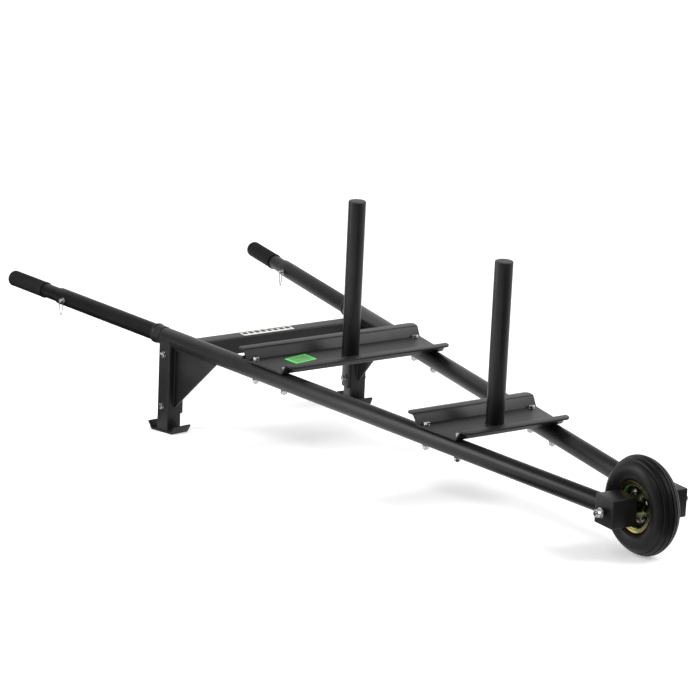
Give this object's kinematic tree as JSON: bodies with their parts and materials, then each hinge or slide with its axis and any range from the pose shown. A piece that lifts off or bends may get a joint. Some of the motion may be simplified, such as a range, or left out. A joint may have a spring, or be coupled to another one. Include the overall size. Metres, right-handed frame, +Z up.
{
  "type": "plate-loaded wheelbarrow",
  "caption": "Long low wheelbarrow frame for strength training, with a pneumatic wheel, two trays with weight posts, legs and telescoping handles.",
  "frame": {"origin": "middle of the bounding box at floor height", "axes": "+X forward to the wheel, +Y to the operator's left, +Z up"},
  "size_m": [2.6811, 0.9006, 0.7199],
  "materials": {
    "black": "black powder coat, satin",
    "grip_rubber": "knurled rubber",
    "zinc": "bright zinc plate",
    "yellow_zinc": "yellow zinc plate on steel",
    "bearing_steel": "ground steel",
    "tyre_rubber": "black rubber",
    "cap_plastic": "moulded black plastic"
  },
  "bodies": {
    "frame": {"rail_right": "black", "sleeve_right": "black", "rear_tube_right": "black", "dome_bolt_right": "zinc", "leg_right": "black", "hanger_right": "black", "gusset_right": "black", "foot_right": "black", "leg_bolt_upper_right": "zinc", "leg_bolt_lower_right": "zinc", "axle_box_right": "black", "spacer_right": "zinc", "rail_left": "black", "sleeve_left": "black", "rear_tube_left": "black", "dome_bolt_left": "zinc", "leg_left": "black", "hanger_left": "black", "gusset_left": "black", "foot_left": "black", "leg_bolt_upper_left": "zinc", "leg_bolt_lower_left": "zinc", "axle_box_left": "black", "spacer_left": "zinc", "crossbeam": "black", "axle": "zinc", "axle_nut": "zinc", "tray_rear": "black", "tray_front": "black", "post_rear": "black", "post_front": "black", "post_cap_rear": "cap_plastic", "post_cap_front": "cap_plastic", "tray_bolt_rear_back_right": "zinc", "tray_bolt_rear_back_left": "zinc", "tray_bolt_rear_fore_right": "zinc", "tray_bolt_rear_fore_left": "zinc", "tray_bolt_front_back_right": "zinc", "tray_bolt_front_back_left": "zinc", "tray_bolt_front_fore_right": "zinc", "tray_bolt_front_fore_left": "zinc"},
    "wheel": {"tyre": "tyre_rubber", "rim_right": "yellow_zinc", "rim_left": "yellow_zinc", "rim_bolt_1": "zinc", "rim_bolt_2": "zinc", "rim_bolt_3": "zinc", "rim_bolt_4": "zinc", "hub": "yellow_zinc", "bearing_right": "bearing_steel", "bearing_left": "bearing_steel", "valve": "cap_plastic"},
    "handle_right_body": {"handle_tube_right": "black", "grip_right": "grip_rubber"},
    "lock_pin_right_body": {"lock_pin_right": "zinc"},
    "bail_right_body": {"bail_right": "zinc"},
    "handle_left_body": {"handle_tube_left": "black", "grip_left": "grip_rubber"},
    "lock_pin_left_body": {"lock_pin_left": "zinc"},
    "bail_left_body": {"bail_left": "zinc"}
  },
  "joints": [
    {"name": "wheel_spin", "type": "hinge", "parent": "frame", "child": "wheel", "pos_m": [1.2107, 0, 0.13], "axis": [0, 1, 0], "continuous": true},
    {"name": "handle_slide_right", "type": "slide", "parent": "frame", "child": "handle_right_body", "axis": [-0.9872, -0.1371, 0.0813], "range_m": [0, 0.15]},
    {"name": "lock_pin_pull_right", "type": "slide", "parent": "frame", "child": "lock_pin_right_body", "axis": [0.1366, -0.9906, -0.0113], "range_m": [0, 0.075]},
    {"name": "bail_swing_right", "type": "hinge", "parent": "lock_pin_right_body", "child": "bail_right_body", "pos_m": [-1.05249, -0.42081, 0.31646], "axis": [-0.9872, -0.1371, 0.0813], "range_deg": [-30, 180]},
    {"name": "handle_slide_left", "type": "slide", "parent": "frame", "child": "handle_left_body", "axis": [-0.9872, 0.1371, 0.0813], "range_m": [0, 0.15]},
    {"name": "lock_pin_pull_left", "type": "slide", "parent": "frame", "child": "lock_pin_left_body", "axis": [-0.1366, -0.9906, 0.0113], "range_m": [0, 0.075]},
    {"name": "bail_swing_left", "type": "hinge", "parent": "lock_pin_left_body", "child": "bail_left_body", "pos_m": [-1.06137, 0.35642, 0.3172], "axis": [-0.9872, 0.1371, 0.0813], "range_deg": [-30, 180]}
  ]
}
